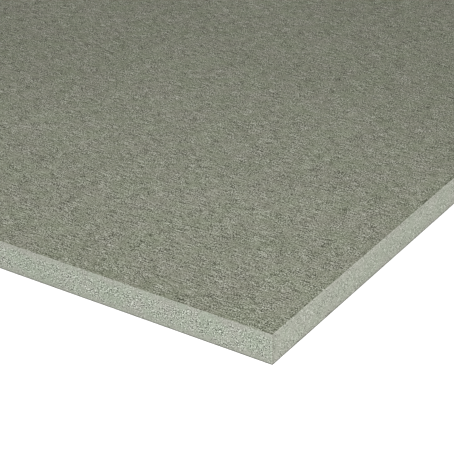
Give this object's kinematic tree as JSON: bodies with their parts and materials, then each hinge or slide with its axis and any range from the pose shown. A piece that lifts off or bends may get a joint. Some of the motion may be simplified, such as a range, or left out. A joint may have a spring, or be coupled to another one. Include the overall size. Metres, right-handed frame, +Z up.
{
  "type": "mdf board",
  "caption": "Full rectangular sheet of green moisture-resistant MDF with smooth sanded faces and square sawn edges, for cutting into panels, shelves and skirting.",
  "frame": {"origin": "centre of the underside, on the floor that the sheet lies on", "axes": "+X along the sheet's length, +Y along its width, +Z up through its thickness"},
  "size_m": [2.44, 1.22, 0.018],
  "materials": {
    "mdf": "matt sanded fibreboard, grey-green through its thickness, with fine dark and pale fibre flecks; sawn edges paler"
  },
  "bodies": {
    "root": {"board": "mdf"}
  },
  "joints": []
}
